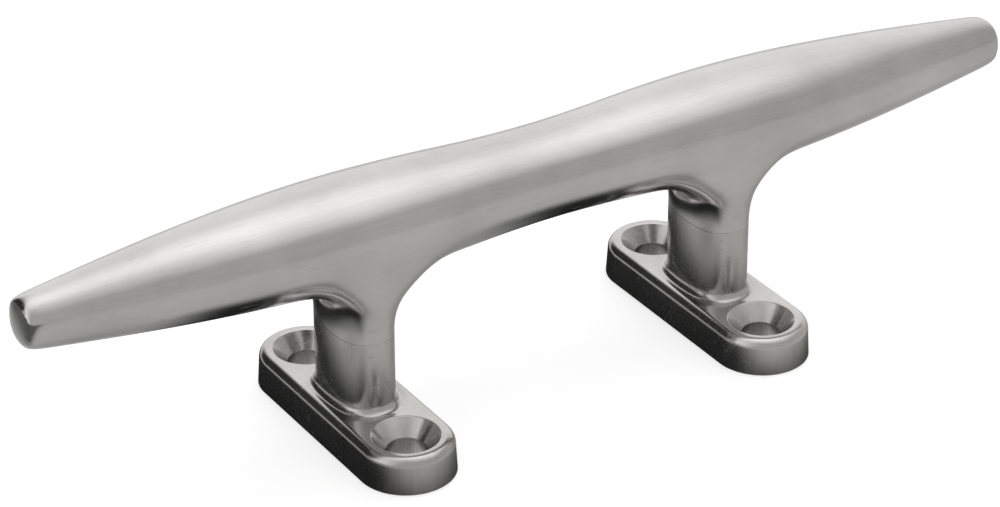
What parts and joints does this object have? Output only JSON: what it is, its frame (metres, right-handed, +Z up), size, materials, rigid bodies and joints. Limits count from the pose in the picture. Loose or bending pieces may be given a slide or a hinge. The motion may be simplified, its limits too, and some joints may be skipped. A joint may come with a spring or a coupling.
{
  "type": "horn cleat",
  "caption": "Open-base horn cleat: a tapered bar on a pair of legs, each with an oblong foot across it and countersunk holes for deck screws.",
  "frame": {"origin": "on the deck plane under the feet, midway between them and under the bar's middle", "axes": "+X along the bar, +Y across it along the feet, +Z up off the deck; front is -Y and left is -X"},
  "size_m": [0.2032, 0.0532, 0.0493],
  "materials": {
    "polished_stainless": "polished cast stainless steel",
    "fastener_steel": "plain stainless steel screw",
    "dowel_steel": "ground stainless steel pin"
  },
  "bodies": {
    "root": {"horn": "polished_stainless", "left_pedestal": "polished_stainless", "right_pedestal": "polished_stainless", "left_tie_screw": "fastener_steel", "right_tie_screw": "fastener_steel", "left_front_dowel_pin": "dowel_steel", "left_back_dowel_pin": "dowel_steel", "right_front_dowel_pin": "dowel_steel", "right_back_dowel_pin": "dowel_steel"}
  },
  "joints": []
}
